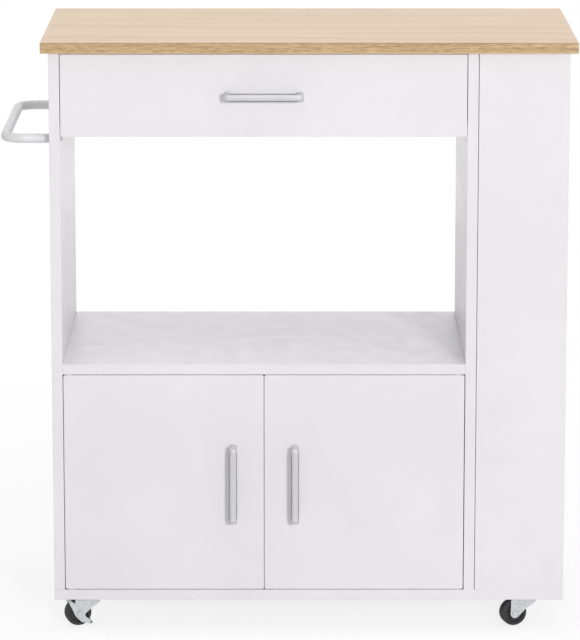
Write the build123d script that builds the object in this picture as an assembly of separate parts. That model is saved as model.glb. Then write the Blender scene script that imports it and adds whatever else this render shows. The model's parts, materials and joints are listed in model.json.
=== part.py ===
from build123d import *
import os
from math import cos, radians, sin

# Kitchen cart on casters, in millimetres. It is drawn from the outer face of the left panel (x = 0),
# the front plane of the cabinet (y = 0, growing to the back) and the floor (z = 0). Each piece is
# moved to the part's own frame, centred under the middle of the outer box, when it is written.

# Boards of the cabinet
board = 16
cabinet_width = 777
side_height = 827
door_opening_height = 337
column_width = 136
back_board = 3
back_board_inset = 12
upper_rail_height = 80
edge_round = 0.7
worktop_width = 800
worktop_depth = 400
worktop_thickness = 17
worktop_front_overhang = 10
worktop_round = 1.2

# Shelves and the guard rods of the side column
inner_shelf_height = 160
inner_shelf_setback = 30
shelf_play = 1
shelf_pin_radius = 2.5
shelf_pin_length = 16
shelf_pin_setback = 55
column_shelf_count = 3
guard_rod_radius = 4
guard_rod_height = 40
guard_rod_setback = 10
guard_rod_depth = 8

# Drawer
drawer_front_height = 124
front_gap = 2
drawer_side = 12
drawer_side_height = 90
drawer_side_lift = 16
drawer_back_space = 33
drawer_bottom = 3
drawer_bottom_lift = 8
groove_depth = 5
groove_play = 0.1
back_board_end_play = 0.5
drawer_bottom_end_play = 0.3

# Roller runners of the drawer
runner_space = 12.5
runner_sheet = 1.2
runner_past_drawer = 5
runner_start = 18
roller_radius = 11
roller_width = 8.2
roller_play = 0.2
roller_side_play = 1
roller_axle_radius = 2.5
flange_play = 0.5
channel_height_play = 0.6
roller_edge = 0.8
front_roller_from_end = 13
rear_roller_from_end = 15
flange_from_roller = 3
runner_screw_radius = 1.6
runner_screw_length = 12
runner_screw_head = 3.4
runner_screw_head_height = 0.6
runner_screw_from_roller = 12
runner_screw_from_end = 20
drawer_rail_from_front = 4
drawer_rail_ledge = 9

# Doors, their pivot pins and their magnetic catches
pivot_from_edge = 8
pivot_from_front = 5
pivot_radius = 2.5
pivot_depth = 10
pivot_reach = 8
pivot_collar_radius = 4.5
bush_wall = 1
bush_play = 0.02
bush_length = 12
catch_width = 30
catch_height = 12
catch_depth = 18
catch_from_middle = 34
catch_screw_spacing = 18
catch_screw_radius = 1.5
catch_screw_bite = 8
catch_screw_head = 2.8
catch_screw_head_height = 1.5
strike_width = 21
strike_height = 7.2
strike_sheet = 1.2
strike_gap = 0.4

# Bow handles
handle_length = 120
handle_width = 12
handle_reach = 25
handle_bar = 6
handle_foot = 9
handle_outer_radius = 7
handle_inner_radius = 4
handle_edge = 2
door_handle_from_edge = 46
handle_screw_radius = 2
handle_screw_bite = 8
screw_head_radius = 4
screw_head_height = 2.2
screw_head_rounding = 0.6

# Towel rail
rail_tube_radius = 7
rail_tube_wall = 1.5
rail_spacing = 330
rail_reach = 69
rail_bend = 28
rail_drop = 133
rail_collar_radius = 6.7
rail_collar_length = 7.5
rail_spigot_length = 14
rail_screw_radius = 2
rail_screw_bite = 12

# Cam fittings and dowels
cam_radius = 7.5
cam_floor = 3.5
cam_distance = 34
cam_slot_width = 1.6
cam_slot_depth = 2
cam_from_end = 60
shelf_cam_from_end = 50
column_cam_share = 0.6
drawer_cam_lift = 30
drawer_cam_drop = 20
bolt_radius = 3
bolt_bite = 10
dowel_radius = 4
dowel_length = 30
dowel_bite = 10
dowel_from_end = 110
shelf_dowel_from_end = 100
shelf_back_joint_shift = 15
column_dowel_spacing = 80
rail_dowel_spacing = 50
hole_play = 0.1
cut_past = 1

# Casters
caster_height = 52
caster_inset_side = 53
caster_inset_front = 52
caster_trail = 21.4
caster_rest_angle = 17
plate_size = 42
plate_sheet = 2
plate_corner = 4
plate_hole_spacing = 30
plate_screw_radius = 2
plate_screw_length = 13
plate_screw_head = 3.6
plate_screw_head_height = 1.5
race_radius = 14
race_height = 1.8
swivel_play = 0.2
kingpin_radius = 4
kingpin_head_radius = 7
kingpin_head_height = 1.9
kingpin_head_rounding = 1.1
fork_sheet = 1.8
fork_top_sheet = 2
fork_top_radius = 15
fork_end_radius = 7.4
fork_end_angle = 48
fork_waist_back = 19.4
fork_waist_rise = 8
fork_wing_back = 34
fork_wing_rise = 18.6
fork_wing_sag = 1.4
fork_nose_front = 6.5
fork_nose_rise = 21
wheel_radius = 20
wheel_width = 16
wheel_shoulder = 1.5
wheel_hub_radius = 5.5
wheel_hub_stand = 0.8
wheel_recess_inner = 8
wheel_recess_outer = 14.5
wheel_recess_depth = 2.5
wheel_side_play = 0.4
axle_radius = 3
running_play = 0.06
brake_sheet = 1.2
brake_gap = 0.3
brake_tongue_gap = 1.5
brake_tongue_length = 5.4
brake_tongue_tilt = 53
brake_tip_radius = 2.6
brake_waist_radius = 7.5
brake_heel_radius = 5
brake_heel_back = 5.5
brake_heel_drop = 9
toe_bar_back = 18
toe_bar_drop = 14.8
toe_bar_radius = 2.4
axle_cap = 1.4
axle_cap_edge = 1.2
axle_cap_chamfer = 0.45

# Levels and lines that follow from the sizes above
cabinet_depth = worktop_depth - worktop_front_overhang
bottom_top = caster_height + board
side_top = bottom_top + side_height
cart_height = side_top + worktop_thickness
shelf_under = bottom_top + door_opening_height
shelf_top = shelf_under + board
divider_left = cabinet_width - column_width - board
divider_right = divider_left + board
opening_middle = (board + divider_left) / 2
column_middle = (divider_right + cabinet_width) / 2
worktop_left = (cabinet_width - worktop_width) / 2
worktop_right = worktop_left + worktop_width
worktop_back = cabinet_depth
back_board_front = cabinet_depth - back_board_inset - back_board
drawer_front_top = side_top - front_gap
drawer_front_bottom = drawer_front_top - drawer_front_height
drawer_front_middle = (drawer_front_top + drawer_front_bottom) / 2
drawer_depth = cabinet_depth - 2 * board - drawer_back_space
runner_length = drawer_depth + runner_past_drawer
drawer_box_left = board + runner_space
drawer_box_bottom = drawer_front_bottom + drawer_side_lift
drawer_box_top = drawer_box_bottom + drawer_side_height
drawer_box_back = board + drawer_depth
door_bottom = bottom_top + front_gap
door_top = shelf_under - front_gap
door_middle = (door_bottom + door_top) / 2
door_width = (divider_left - board - 3 * front_gap) / 2
door_left = board + front_gap
inner_shelf_bottom = bottom_top + inner_shelf_height
pivot_x = door_left + pivot_from_edge
rail_height = side_top - rail_drop
rail_front = (cabinet_depth - rail_spacing) / 2
rail_outer = rail_reach + rail_tube_radius
origin_x = (worktop_right - rail_outer) / 2
origin_y = (worktop_back - handle_reach) / 2

# Directions
LEFT, RIGHT = Vector(-1, 0, 0), Vector(1, 0, 0)
FRONT, BACK = Vector(0, -1, 0), Vector(0, 1, 0)
DOWN, UP = Vector(0, 0, -1), Vector(0, 0, 1)

holes = {}
cams = []
bolts = []
dowels = []
drawer_cams = []
drawer_bolts = []


def rod(start, direction, radius, length):
    # A round bar that starts at a point and runs along a direction.
    plane = Plane(origin=start, z_dir=direction)
    return plane * Cylinder(radius, length, align=(Align.CENTER, Align.CENTER, Align.MIN))


def drill(name, start, direction, radius, depth):
    # Notes a round hole in a named board. It begins a little outside the face, so that it cuts cleanly.
    start = Vector(start) - direction * cut_past
    holes.setdefault(name, []).append(rod(start, direction, radius, depth + cut_past))


def block(x0, x1, y0, y1, z0, z1):
    # A plain box between two corners.
    middle = Pos((x0 + x1) / 2, (y0 + y1) / 2, (z0 + z1) / 2)
    return middle * Box(x1 - x0, y1 - y0, z1 - z0)


def panel(x0, x1, y0, y1, z0, z1, rounding=edge_round):
    # A board with slightly eased edges.
    solid = block(x0, x1, y0, y1, z0, z1)
    return fillet(solid.edges(), rounding)


def flip(shape):
    # The same piece on the other side of the drawer and door opening.
    return mirror(shape, about=Plane.YZ.offset(opening_middle))


def both_sides(shape):
    return [shape, flip(shape)]


def cam_joint(point, inward, face, thickness, holder, bolted, cam_list, bolt_list):
    # A cam fitting: point is on the joint, at mid thickness of the board that holds the cam; inward runs
    # along the bolt into that board, and face points from the bolt to the face where the cam opens.
    point = Vector(point)
    cam_depth = thickness - cam_floor
    bolt_hole = bolt_radius + 2 * hole_play
    centre = point + inward * cam_distance
    mouth = centre + face * (thickness / 2)
    cam = rod(mouth, face * -1, cam_radius, cam_depth)
    past_cam = cam_radius + cut_past
    socket = rod(centre - inward * past_cam, inward, bolt_hole, past_cam)
    across = face.cross(inward)
    slot_length = cam_radius
    for along, side in ((inward, across), (across, inward)):
        plane = Plane(origin=mouth, x_dir=along, z_dir=face)
        cam = cam - plane * Box(slot_length, cam_slot_width, 2 * cam_slot_depth)
    cam_list.append(cam - socket)
    bolt_length = bolt_bite + cam_distance - hole_play
    bolt_list.append(rod(point - inward * bolt_bite, inward, bolt_radius, bolt_length))
    drill(holder, mouth, face * -1, cam_radius + hole_play, cam_depth + hole_play)
    drill(holder, point, inward, bolt_hole, cam_distance)
    drill(bolted, point, inward * -1, bolt_radius + hole_play / 2, bolt_bite + hole_play)


def dowel_joint(point, inward, edge_board, face_board):
    # A wooden dowel across a joint, longer in the edge of one board than in the face of the other.
    point = Vector(point)
    rest = dowel_length - dowel_bite
    dowels.append(rod(point - inward * dowel_bite, inward, dowel_radius, dowel_length))
    drill(edge_board, point, inward, dowel_radius + hole_play / 2, rest + hole_play)
    drill(face_board, point, inward * -1, dowel_radius + hole_play / 2, dowel_bite + hole_play)


def finished(name, solid):
    # Cuts the holes that were noted for a board.
    return solid - holes.get(name, [])


def fit_cabinet_joints():
    cam_y = (cam_from_end, cabinet_depth - cam_from_end)
    dowel_y = (dowel_from_end, cabinet_depth - dowel_from_end)
    dowel_x = (column_middle - column_dowel_spacing / 2, column_middle + column_dowel_spacing / 2)
    uprights = (
        ("left_side_panel", board / 2, RIGHT),
        ("divider_panel", divider_left + board / 2, LEFT),
    )
    column = (
        ("column_front_panel", board / 2, BACK),
        ("column_back_panel", cabinet_depth - board / 2, FRONT),
    )
    ends = ((side_top, DOWN, "worktop"), (bottom_top, UP, "bottom_panel"))
    for level, inward, bolted in ends:
        for name, x, face in uprights:
            for y in cam_y:
                cam_joint((x, y, level), inward, face, board, name, bolted, cams, bolts)
            for y in dowel_y:
                dowel_joint((x, y, level), inward, name, bolted)
        for name, y, face in column:
            cam_joint((column_middle, y, level), inward, face, board, name, bolted, cams, bolts)
            for x in dowel_x:
                dowel_joint((x, y, level), inward, name, bolted)

    shelf_axis = shelf_under + board / 2
    shelf_back = cabinet_depth - shelf_back_joint_shift
    sides = (("left_side_panel", board, RIGHT), ("divider_panel", divider_left, LEFT))
    for bolted, x, inward in sides:
        for y in (shelf_cam_from_end, shelf_back - shelf_cam_from_end):
            cam_joint((x, y, shelf_axis), inward, DOWN, board, "middle_shelf", bolted, cams, bolts)
        for y in (shelf_dowel_from_end, shelf_back - shelf_dowel_from_end):
            dowel_joint((x, y, shelf_axis), inward, "middle_shelf", bolted)
        rail_axis = cabinet_depth - board / 2
        rail_middle = side_top - upper_rail_height / 2
        cam_joint((x, rail_axis, rail_middle), inward, FRONT, board, "upper_back_rail", bolted, cams, bolts)
        for z in (rail_middle - rail_dowel_spacing / 2, rail_middle + rail_dowel_spacing / 2):
            dowel_joint((x, rail_axis, z), inward, "upper_back_rail", bolted)

    for floor in column_bay_floors():
        z = floor + column_bay() * column_cam_share
        for name, y, face in column:
            cam_joint((divider_right, y, z), RIGHT, face, board, name, "divider_panel", cams, bolts)

    for level in column_shelf_levels():
        axis = level + board / 2
        for name, y, inward in (
            ("column_front_panel", board, BACK),
            ("column_back_panel", cabinet_depth - board, FRONT),
        ):
            cam_joint((column_middle, y, axis), inward, DOWN, board, "side_shelves", name, cams, bolts)
            for x in dowel_x:
                dowel_joint((x, y, axis), inward, "side_shelves", name)


def column_bay():
    # Height of each of the side column's equal bays.
    return (side_height - column_shelf_count * board) / (column_shelf_count + 1)


def column_bay_floors():
    return [bottom_top + i * (column_bay() + board) for i in range(column_shelf_count + 1)]


def column_shelf_levels():
    # Undersides of the column's shelves.
    return [floor - board for floor in column_bay_floors()[1:]]


def worktop():
    solid = panel(
        worktop_left, worktop_right, -worktop_front_overhang, worktop_back, side_top, cart_height, worktop_round
    )
    return finished("worktop", solid)


def bottom_panel():
    solid = panel(0, cabinet_width, 0, cabinet_depth, caster_height, bottom_top)
    return finished("bottom_panel", solid - back_board_groove())


def left_side_panel():
    solid = panel(0, board, 0, cabinet_depth, bottom_top, side_top)
    return finished("left_side_panel", solid - back_board_groove())


def divider_panel():
    solid = panel(divider_left, divider_right, 0, cabinet_depth, bottom_top, side_top)
    return finished("divider_panel", solid - back_board_groove())


def middle_shelf():
    solid = panel(board, divider_left, 0, cabinet_depth, shelf_under, shelf_top)
    return finished("middle_shelf", solid - back_board_groove())


def upper_back_rail():
    y0 = cabinet_depth - board
    solid = panel(board, divider_left, y0, cabinet_depth, side_top - upper_rail_height, side_top)
    return finished("upper_back_rail", solid)


def back_board_block(reach, grow):
    # The thin back of the door compartment reaches into a groove on all four sides.
    return block(
        board - reach,
        divider_left + reach,
        back_board_front - grow,
        back_board_front + back_board + grow,
        bottom_top - reach,
        shelf_under + reach,
    )


def back_board_groove():
    return back_board_block(groove_depth, groove_play)


def cabinet_back_panel():
    return back_board_block(groove_depth - back_board_end_play, 0)


def inner_shelf():
    return panel(
        board + shelf_play,
        divider_left - shelf_play,
        inner_shelf_setback,
        back_board_front - shelf_play,
        inner_shelf_bottom,
        inner_shelf_bottom + board,
    )


def shelf_pins():
    z = inner_shelf_bottom - shelf_pin_radius
    pins = []
    for y in (shelf_pin_setback, cabinet_depth - shelf_pin_setback):
        start = (board - shelf_pin_length / 2, y, z)
        pins += both_sides(rod(start, RIGHT, shelf_pin_radius, shelf_pin_length))
        depth = shelf_pin_length / 2 + hole_play
        drill("left_side_panel", (board, y, z), LEFT, shelf_pin_radius + hole_play / 2, depth)
        drill("divider_panel", (divider_left, y, z), RIGHT, shelf_pin_radius + hole_play / 2, depth)
    return pins


def column_front_panel():
    solid = panel(divider_right, cabinet_width, 0, board, bottom_top, side_top)
    return finished("column_front_panel", solid)


def column_back_panel():
    solid = panel(divider_right, cabinet_width, cabinet_depth - board, cabinet_depth, bottom_top, side_top)
    return finished("column_back_panel", solid)


def side_shelves():
    shelves = []
    for z in column_shelf_levels():
        solid = panel(divider_right, cabinet_width, board, cabinet_depth - board, z, z + board)
        shelves.append(finished("side_shelves", solid))
    return shelves


def guard_rods():
    # One rod across the open side of each bay, its ends let into the column's front and back panels.
    rods = []
    length = cabinet_depth - 2 * board + 2 * guard_rod_depth
    x = cabinet_width - guard_rod_setback
    for floor in column_bay_floors():
        z = floor + guard_rod_height
        rods.append(rod((x, board - guard_rod_depth, z), BACK, guard_rod_radius, length))
        radius, depth = guard_rod_radius + hole_play / 2, guard_rod_depth + hole_play
        drill("column_front_panel", (x, board, z), FRONT, radius, depth)
        drill("column_back_panel", (x, cabinet_depth - board, z), BACK, radius, depth)
    return rods


def towel_rail():
    corners = [
        (-rail_collar_length, rail_front, rail_height),
        (-rail_reach, rail_front, rail_height),
        (-rail_reach, rail_front + rail_spacing, rail_height),
        (-rail_collar_length, rail_front + rail_spacing, rail_height),
    ]
    path = FilletPolyline(*corners, radius=rail_bend)
    start = Plane(origin=corners[0], z_dir=LEFT)
    outside = sweep(start * Circle(rail_tube_radius), path=path)
    inside = sweep(start * Circle(rail_tube_radius - rail_tube_wall), path=path)
    return outside - inside


def towel_rail_plugs():
    plugs = []
    spigot = rail_tube_radius - rail_tube_wall - hole_play
    for y in (rail_front, rail_front + rail_spacing):
        plug = rod((0, y, rail_height), LEFT, rail_collar_radius, rail_collar_length)
        plug += rod((0, y, rail_height), LEFT, spigot, rail_collar_length + rail_spigot_length)
        plug -= rod((0, y, rail_height), LEFT, rail_screw_radius + hole_play / 2, rail_screw_bite + hole_play)
        plugs.append(plug)
    return plugs


def towel_rail_screws():
    screws = []
    for y in (rail_front, rail_front + rail_spacing):
        screws.append(pan_screw((board, y, rail_height), LEFT, rail_screw_radius, board + rail_screw_bite))
        drill("left_side_panel", (board, y, rail_height), LEFT, rail_screw_radius + hole_play, board + cut_past)
    return screws


def pan_screw(seat, inward, radius, length, head_radius=screw_head_radius, head_height=screw_head_height):
    # A screw whose head stands on a face at seat and whose shank runs inward from there.
    seat = Vector(seat)
    shank = rod(seat, inward, radius, length)
    head = rod(seat - inward * head_height, inward, head_radius, head_height)
    top = head.faces().sort_by(Axis(seat, inward))[0]
    return shank + fillet(top.edges(), head_height * screw_head_rounding)


def bow_handle():
    # A bow handle lying along x with its feet on the plane z = 0, its grip standing out along z.
    half = handle_length / 2
    outer = Polyline((-half, 0), (-half, handle_reach), (half, handle_reach), (half, 0))
    outer = make_face(outer + Line((half, 0), (-half, 0)))
    outer = fillet(outer.vertices().group_by(Axis.Y)[-1], handle_outer_radius)
    gap = half - handle_foot
    inner = Pos(0, (handle_reach - handle_bar) / 2) * Rectangle(2 * gap, handle_reach - handle_bar)
    inner = fillet(inner.vertices().group_by(Axis.Y)[-1], handle_inner_radius)
    solid = extrude(Plane.XZ * (outer - inner), handle_width / 2, both=True)
    soft = [e for e in solid.edges() if is_grip_edge(e)]
    solid = fillet(soft, handle_edge)
    for x in handle_screw_offsets():
        solid -= rod((x, 0, 0), UP, handle_screw_radius + hole_play / 2, handle_screw_bite + hole_play)
    return solid


def is_grip_edge(edge):
    # The long edges of the bow's outer side, which a hand feels.
    box = edge.bounding_box()
    on_side = abs(abs(box.min.Y) - handle_width / 2) < 0.01 and box.size.Y < 0.01
    middle = edge.position_at(0.5)
    half = handle_length / 2
    corner = handle_outer_radius * 0.5
    outside = middle.Z > handle_reach - corner or abs(middle.X) > half - corner
    return on_side and outside and box.max.Z > 0.01


def handle_screw_offsets():
    offset = handle_length / 2 - handle_foot / 2
    return (-offset, offset)


def handle_screws(at):
    # Two screws from behind a front of one board thickness, in the bow's own directions.
    length = board + handle_screw_bite
    return [at * pan_screw((x, 0, -board), UP, handle_screw_radius, length) for x in handle_screw_offsets()]


def handle_holes(at):
    radius = handle_screw_radius + 2 * hole_play
    return [at * rod((x, 0, -board - cut_past), UP, radius, board + 2 * cut_past) for x in handle_screw_offsets()]


def drawer_handle_place():
    return Plane(origin=(opening_middle, 0, drawer_front_middle), x_dir=RIGHT, z_dir=FRONT).location


def door_handle_place():
    x = door_left + door_width - door_handle_from_edge
    return Plane(origin=(x, 0, door_middle), x_dir=UP, z_dir=FRONT).location


def drawer_bottom_block(reach, grow):
    # The drawer's thin bottom sits in grooves of the sides and the front, and runs under the back.
    left = drawer_box_left + drawer_side - reach
    z = drawer_box_bottom + drawer_bottom_lift
    right = 2 * opening_middle - left
    return block(left, right, board - reach, drawer_box_back + grow, z - grow, z + drawer_bottom + grow)


def drawer_bottom_groove():
    return drawer_bottom_block(groove_depth, groove_play)


def drawer_bottom_panel():
    return drawer_bottom_block(groove_depth - drawer_bottom_end_play, 0)


def drawer_back_bottom():
    return drawer_box_bottom + drawer_bottom_lift + drawer_bottom + groove_play


def fit_drawer_joints():
    side_axis = drawer_box_left + drawer_side / 2
    lower, upper = drawer_box_bottom + drawer_cam_lift, drawer_box_top - drawer_cam_drop
    for z in (lower, upper):
        for name, x, face in (
            ("drawer_left_side", side_axis, RIGHT),
            ("drawer_right_side", 2 * opening_middle - side_axis, LEFT),
        ):
            point = (x, board, z)
            cam_joint(point, BACK, face, drawer_side, name, "drawer_front", drawer_cams, drawer_bolts)
    back_axis = drawer_box_back - drawer_side / 2
    inner = drawer_box_left + drawer_side
    for name, x, inward in (
        ("drawer_left_side", inner, RIGHT),
        ("drawer_right_side", 2 * opening_middle - inner, LEFT),
    ):
        point = (x, back_axis, (lower + upper) / 2)
        cam_joint(point, inward, BACK, drawer_side, "drawer_back", name, drawer_cams, drawer_bolts)


def drawer_front():
    solid = panel(
        board + front_gap, divider_left - front_gap, 0, board, drawer_front_bottom, drawer_front_top
    )
    solid = solid - drawer_bottom_groove() - handle_holes(drawer_handle_place())
    return finished("drawer_front", solid)


def drawer_side_board():
    solid = panel(
        drawer_box_left,
        drawer_box_left + drawer_side,
        board,
        drawer_box_back,
        drawer_box_bottom,
        drawer_box_top,
    )
    return solid - drawer_bottom_groove()


def drawer_back():
    left = drawer_box_left + drawer_side
    solid = panel(
        left,
        2 * opening_middle - left,
        drawer_box_back - drawer_side,
        drawer_box_back,
        drawer_back_bottom(),
        drawer_box_top,
    )
    return finished("drawer_back", solid)


# Heights of the runner's parts, from the lower flange of the cabinet channel up
channel_floor = drawer_box_bottom + runner_sheet
rear_roller_height = channel_floor + roller_radius + roller_play
channel_roof = channel_floor + 2 * roller_radius + channel_height_play
track_under = channel_roof + runner_sheet + flange_play
front_roller_height = track_under - roller_play - roller_radius
front_roller_y = runner_start + front_roller_from_end
rear_roller_y = drawer_box_back - rear_roller_from_end
roller_left = board + runner_sheet + roller_side_play


def cabinet_runner():
    # A steel channel on the left panel, with the front roller's axle in front of its flanges.
    web_right = board + runner_sheet
    plate_left = drawer_box_left - runner_sheet
    flange_right = plate_left - flange_play
    flange_start = front_roller_y + roller_radius + flange_from_roller
    end = runner_start + runner_length
    low = channel_floor - runner_sheet
    web = block(board, web_right, runner_start, end, low, channel_roof + runner_sheet)
    floor = block(board, flange_right, flange_start, end, low, channel_floor)
    roof = block(board, flange_right, flange_start, end, channel_roof, channel_roof + runner_sheet)
    axle_length = flange_right - board
    axle = rod((board, front_roller_y, front_roller_height), RIGHT, roller_axle_radius, axle_length)
    runner = web + floor + roof + axle
    for y in runner_screw_places():
        start = (board - cut_past, y, runner_screw_height())
        runner -= rod(start, RIGHT, runner_screw_radius + hole_play, runner_sheet + 2 * cut_past)
    return runner


def runner_screw_places():
    first = front_roller_y + roller_radius + runner_screw_from_roller
    last = runner_start + runner_length - runner_screw_from_end
    return (first, (first + last) / 2, last)


def runner_screw_height():
    return (channel_floor + channel_roof) / 2


def runner_screws():
    screws = []
    for y in runner_screw_places():
        z = runner_screw_height()
        seat = (board + runner_sheet, y, z)
        screw = pan_screw(
            seat, LEFT, runner_screw_radius, runner_screw_length, runner_screw_head, runner_screw_head_height
        )
        screws += both_sides(screw)
        depth = runner_screw_length - runner_sheet + hole_play
        radius = runner_screw_radius + hole_play / 2
        drill("left_side_panel", (board, y, z), LEFT, radius, depth)
        drill("divider_panel", (divider_left, y, z), RIGHT, radius, depth)
    return screws


def drawer_rail():
    # The drawer's own rail: a plate on the side, a ledge under it, a track above the front roller and
    # the rear roller's axle.
    plate_left = drawer_box_left - runner_sheet
    start, end = board + drawer_rail_from_front, drawer_box_back
    track_top = track_under + runner_sheet
    low = drawer_box_bottom - runner_sheet
    plate = block(plate_left, drawer_box_left, start, end, low, track_top)
    ledge = block(plate_left, drawer_box_left + drawer_rail_ledge, start, end, low, drawer_box_bottom)
    track = block(roller_left, drawer_box_left, start, end, track_under, track_top)
    axle_length = plate_left - roller_left
    axle = rod((plate_left, rear_roller_y, rear_roller_height), LEFT, roller_axle_radius, axle_length)
    return plate + ledge + track + axle


def roller(y, z):
    # A nylon roller with eased rims, turning about x.
    body = rod((roller_left, y, z), RIGHT, roller_radius, roller_width)
    body = fillet(body.edges(), roller_edge)
    bore = roller_axle_radius + running_play
    return body - rod((roller_left - cut_past, y, z), RIGHT, bore, roller_width + 2 * cut_past)


def left_door():
    solid = panel(door_left, door_left + door_width, 0, board, door_bottom, door_top)
    radius = pivot_radius + running_play + bush_wall + bush_play
    for z, direction in ((door_bottom, UP), (door_top, DOWN)):
        start = Vector(pivot_x, pivot_from_front, z) - direction * cut_past
        solid -= rod(start, direction, radius, bush_length + cut_past + hole_play)
    return solid - handle_holes(door_handle_place())


def pivot_bushes():
    # Nylon sleeves let into the door's lower and upper edges.
    bushes = []
    bore = pivot_radius + running_play
    for z, direction in ((door_bottom, UP), (door_top, DOWN)):
        at = Vector(pivot_x, pivot_from_front, z)
        sleeve = rod(at, direction, bore + bush_wall, bush_length)
        bushes.append(sleeve - rod(at - direction * cut_past, direction, bore, bush_length))
    return bushes


def pivot_pins():
    # Pins in the bottom panel and the middle shelf, with a collar that keeps the door off the board.
    pins = []
    collar = front_gap - swivel_play
    for z, out, name in ((bottom_top, UP, "bottom_panel"), (shelf_under, DOWN, "middle_shelf")):
        at = Vector(pivot_x, pivot_from_front, z)
        pin = rod(at - out * pivot_depth, out, pivot_radius, pivot_depth + front_gap + pivot_reach)
        pin += rod(at, out, pivot_collar_radius, collar)
        pins += both_sides(pin)
        for x in (pivot_x, 2 * opening_middle - pivot_x):
            start = (x, pivot_from_front, z)
            drill(name, start, out * -1, pivot_radius + hole_play / 2, pivot_depth + hole_play)
    return pins


def catch_x():
    return opening_middle - catch_from_middle


def door_catches():
    # Magnetic catches under the middle shelf, one behind each door.
    front = board + strike_sheet + strike_gap
    x = catch_x()
    body = panel(
        x - catch_width / 2,
        x + catch_width / 2,
        front,
        front + catch_depth,
        shelf_under - catch_height,
        shelf_under,
    )
    for screw_x in catch_screw_places():
        radius = catch_screw_radius + hole_play
        start = (screw_x, catch_middle_y(), shelf_under - catch_height - cut_past)
        body -= rod(start, UP, radius, catch_height + 2 * cut_past)
    return both_sides(body)


def catch_middle_y():
    return board + strike_sheet + strike_gap + catch_depth / 2


def catch_screw_places():
    return (catch_x() - catch_screw_spacing / 2, catch_x() + catch_screw_spacing / 2)


def catch_screws():
    screws = []
    for x in catch_screw_places():
        seat = (x, catch_middle_y(), shelf_under - catch_height)
        length = catch_height + catch_screw_bite
        screw = pan_screw(seat, UP, catch_screw_radius, length, catch_screw_head, catch_screw_head_height)
        screws += both_sides(screw)
        for hole_x in (x, 2 * opening_middle - x):
            start = (hole_x, catch_middle_y(), shelf_under)
            drill("middle_shelf", start, UP, catch_screw_radius + hole_play / 2, catch_screw_bite + hole_play)
    return screws


def strike_plate():
    z = shelf_under - catch_height / 2
    x = catch_x()
    wide, high = strike_width / 2, strike_height / 2
    return block(x - wide, x + wide, board, board + strike_sheet, z - high, z + high)


# Casters are drawn with the swivel axis on z and the wheel trailing along +x, then turned and moved.
axle_height = wheel_radius
fork_inner = wheel_width / 2 + wheel_hub_stand + wheel_side_play
fork_outer = fork_inner + fork_sheet
fork_roof = caster_height - plate_sheet - race_height - swivel_play
brake_outer = fork_outer + brake_gap + brake_sheet
caster_axes = {
    "front_left": (caster_inset_side, caster_inset_front),
    "front_right": (cabinet_width - caster_inset_side, caster_inset_front),
    "rear_left": (caster_inset_side, cabinet_depth - caster_inset_front),
    "rear_right": (cabinet_width - caster_inset_side, cabinet_depth - caster_inset_front),
}
braked_casters = ("front_left", "rear_right")


def caster_place(corner):
    x, y = caster_axes[corner]
    return Pos(x, y, 0) * Rot(0, 0, 180 + caster_rest_angle)


def caster_plate():
    # The screwed plate with its pressed race, and the kingpin riveted through it.
    top = caster_height
    plate = block(-plate_size / 2, plate_size / 2, -plate_size / 2, plate_size / 2, top - plate_sheet, top)
    plate = fillet(plate.edges().filter_by(Axis.Z), plate_corner)
    race = rod((0, 0, top - plate_sheet - race_height), UP, race_radius, race_height)
    head_top = fork_roof - fork_top_sheet - swivel_play
    pin_bottom = head_top - kingpin_head_height
    pin = rod((0, 0, pin_bottom), UP, kingpin_radius, top - plate_sheet - pin_bottom)
    head = rod((0, 0, pin_bottom), UP, kingpin_head_radius, kingpin_head_height)
    head = fillet(head.edges().sort_by(Axis.Z)[0], kingpin_head_rounding)
    plate += race + pin + head
    for x, y in plate_holes():
        start = (x, y, top - plate_sheet - cut_past)
        plate -= rod(start, UP, plate_screw_radius + hole_play, plate_sheet + 2 * cut_past)
    return plate


def plate_holes():
    half = plate_hole_spacing / 2
    return [(x, y) for x in (-half, half) for y in (-half, half)]


def caster_screws():
    screws = []
    for axis_x, axis_y in caster_axes.values():
        for x, y in plate_holes():
            seat = (axis_x + x, axis_y + y, caster_height - plate_sheet)
            screw = pan_screw(
                seat, UP, plate_screw_radius, plate_screw_length, plate_screw_head, plate_screw_head_height
            )
            screws.append(screw)
            start = (axis_x + x, axis_y + y, caster_height)
            depth = plate_screw_length - plate_sheet + hole_play
            drill("bottom_panel", start, UP, plate_screw_radius + hole_play / 2, depth)
    return screws


def fork_leg():
    # Outline of a fork leg: a wing under the swivel head that sweeps down to the rounded axle end.
    x, z, end = caster_trail, axle_height, fork_end_radius
    turn = radians(fork_end_angle)
    nose, under = (x + end, z), (x, z - end)
    heel = (x - end * sin(turn), z - end * cos(turn))
    waist = (x - fork_waist_back, z + fork_waist_rise)
    wing = (x - fork_wing_back, z + fork_wing_rise)
    between = ((waist[0] + wing[0]) / 2, (waist[1] + wing[1]) / 2 - fork_wing_sag)
    cheek = (x + fork_nose_front, z + fork_nose_rise)
    edge = Polyline(nose, cheek, (x, fork_roof), (wing[0], fork_roof), wing)
    edge += ThreePointArc(wing, between, waist)
    edge += Line(waist, heel)
    edge += ThreePointArc(heel, under, nose)
    return make_face(edge)


def both_legs(outline, inner, sheet):
    # The same pressed outline on both sides of the wheel.
    near = extrude(Plane.XZ.offset(inner) * outline, sheet)
    far = extrude(Plane.XZ.offset(-inner - sheet) * outline, sheet)
    return near + far


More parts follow.
